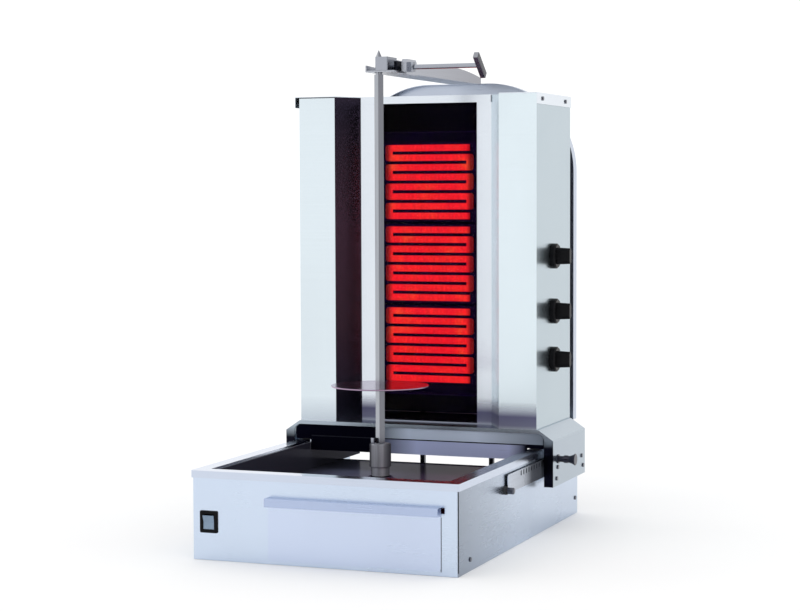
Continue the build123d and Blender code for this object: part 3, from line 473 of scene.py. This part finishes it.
soften(["base_shell", "drawer_front", "column_left", "column_right", "portal", "top_cover", "rear_cover",
        "support_arm", "clamp_plate", "bearing_block"], FOLD_RADIUS)


def strip(name, body, low, high):
    """A thin dark block: painted shade in a gap along a fold or between two sheets; also the dark strip by
    the jaw.
    """
    mesh = bpy.data.meshes.new(name)
    maker = bmesh.new()
    corners = [maker.verts.new((x, y, z)) for x in (low[0], high[0]) for y in (low[1], high[1])
               for z in (low[2], high[2])]
    for face in ((0, 1, 3, 2), (4, 6, 7, 5), (0, 4, 5, 1), (2, 3, 7, 6), (0, 2, 6, 4), (1, 5, 7, 3)):
        maker.faces.new([corners[index] for index in face])
    bmesh.ops.recalc_face_normals(maker, faces=maker.faces)
    bmesh.ops.bevel(maker, geom=maker.edges[:], offset=0.0001, segments=1, affect="EDGES")
    maker.to_mesh(mesh)
    maker.free()
    piece = bpy.data.objects.new(name, mesh)
    bpy.context.scene.collection.objects.link(piece)
    mesh.materials.append(gap_shade_dark)
    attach(piece, body)


# Painted shade: a dark line down the base's front right corner.
strip("corner_shade_line", "base", (BASE_HI.x, BASE_LO.y + 0.0006, BASE_LO.z + 0.006),
      (BASE_HI.x + 0.0004, BASE_LO.y + 0.0030, SHELL_TOP))
# Painted shade: a dark line along the drawer's right edge, standing on the base front.
strip("drawer_gap_shade", "base", (DRAWER_HI.x - 0.0006, BASE_LO.y - 0.0008, DRAWER_LO.z),
      (DRAWER_HI.x + 0.0006, BASE_LO.y, DRAWER_HI.z - 0.018))
# Painted shade: a dark strip behind the gap between the beam and the splash panel.
strip("beam_gap_shade", "carriage", (-BEAM_LINE_HALF, BEAM_LO.y + 0.0004, BEAM_LO.z - 0.0023),
      (BEAM_LINE_HALF, BEAM_LO.y + 0.0030, BEAM_LO.z - 0.0002))
# A thin dark strip on the bearing block's +X side.
strip("jaw_dark_strip", "jaw", (JAW_HI.x, JAW_LO.y + 0.040, JAW_LO.z + 0.001),
      (JAW_HI.x + JAW_STRIP_THICKNESS, JAW_HI.y - 0.008, JAW_HI.z - 0.006))
# Painted shade: dark strips on the base sides behind the guide rails' slots.
for side, name in ((-1, "rail_slot_shade_left"), (1, "rail_slot_shade_right")):
    inner, outer = sorted((side * BASE_HI.x, side * (BASE_HI.x + 0.0008)))
    strip(name, "base", (inner, RAIL_LO.y + 0.012, RAIL_LO.z + 0.003),
          (outer, RAIL_HI.y - 0.004, RAIL_HI.z - 0.002))
# Painted shade: a dark line under the top cover's front edge over the left wing.
strip("cover_edge_shade", "carriage", (LEFT_LO.x, LEFT_LO.y - 0.0012, LEFT_HI.z - 0.0016),
      (LEFT_LO.x + WING_FRONT_WIDTH, LEFT_LO.y, LEFT_HI.z))


# ------------------------------------------------------------------ floor, light, dark wall, camera
def grid_object(name, segments, size):
    """A flat square grid in the XY plane, as an object in the scene."""
    mesh = bpy.data.meshes.new(name)
    maker = bmesh.new()
    bmesh.ops.create_grid(maker, x_segments=segments, y_segments=segments, size=size)
    maker.to_mesh(mesh)
    maker.free()
    plane = bpy.data.objects.new(name, mesh)
    bpy.context.scene.collection.objects.link(plane)
    return plane


def matt(name, scale, low, high, rough):
    """A dull material whose tone goes from low to high in soft clouds, with its shader."""
    mat, tree, shader = new_material(name)
    cloud = noise(tree, coords(tree, PLAIN), scale, 2.0, 0.5)
    tree.links.new(ramp(tree, cloud, [(0.3, low), (0.7, high)]), shader.inputs["Base Color"])
    shader.inputs["Roughness"].default_value = rough
    return mat, shader


def white_floor():
    floor = grid_object("floor", 8, 12)
    floor.location.z = BASE_LO.z - 0.0005
    mat, _ = matt("floor_white", 3.0, (0.965, 0.965, 0.965), (0.975, 0.975, 0.975), 0.9)
    floor.data.materials.append(mat)


def white_world():
    """An even white surrounding, which is the only light."""
    world = bpy.data.worlds.new("studio")
    world.use_nodes = True
    world.node_tree.nodes["Background"].inputs["Color"].default_value = (1, 1, 1, 1)
    world.node_tree.nodes["Background"].inputs["Strength"].default_value = 1.1
    bpy.context.scene.world = world
    bpy.context.scene.view_settings.view_transform = "Standard"


def dark_wall(azimuth, distance, height, width, tone):
    """A staged dark wall in front of the object, seen only in reflections."""
    wall = grid_object("dark_wall", 2, 0.5)
    angle = math.radians(azimuth)
    middle = Vector((math.sin(angle) * distance, -math.cos(angle) * distance, height / 2))
    wall.matrix_world = (Matrix.Translation(middle) @ Matrix.Rotation(angle, 4, "Z")
                         @ Matrix.Rotation(math.pi / 2, 4, "X") @ Matrix.Diagonal((width, height, 1, 1)))
    mat, shader = matt("dark_wall", 4.0, tone, scaled(tone, 1.2), 1.0)
    shader.inputs["Specular IOR Level"].default_value = 0.0
    wall.data.materials.append(mat)
    wall.visible_camera = False
    wall.visible_diffuse = False
    wall.visible_shadow = False


def main_camera(yaw, pitch, roll, lens, offset):
    """The main view: angles in degrees, offset from the middle of the base's underside in metres."""
    data = bpy.data.cameras.new("camera")
    data.lens = lens
    data.sensor_width = 36.0
    data.clip_start, data.clip_end = 0.05, 60
    camera = bpy.data.objects.new("camera", data)
    base_middle = Vector(((BASE_LO.x + BASE_HI.x) / 2, (BASE_LO.y + BASE_HI.y) / 2, BASE_LO.z))
    turn = (Matrix.Rotation(math.radians(yaw), 4, "Z")
            @ Matrix.Rotation(math.pi / 2 - math.radians(pitch), 4, "X")
            @ Matrix.Rotation(math.radians(roll), 4, "Z"))
    camera.matrix_world = Matrix.Translation(base_middle + Vector(offset)) @ turn
    bpy.context.scene.collection.objects.link(camera)
    bpy.context.scene.camera = camera


white_floor()
white_world()
dark_wall(azimuth=21, distance=6.2, height=2.3, width=2.6, tone=(0.012, 0.012, 0.02))
main_camera(yaw=21.17, pitch=3.35, roll=-0.2, lens=89.17, offset=(1.3570, -3.4882, 0.6549))
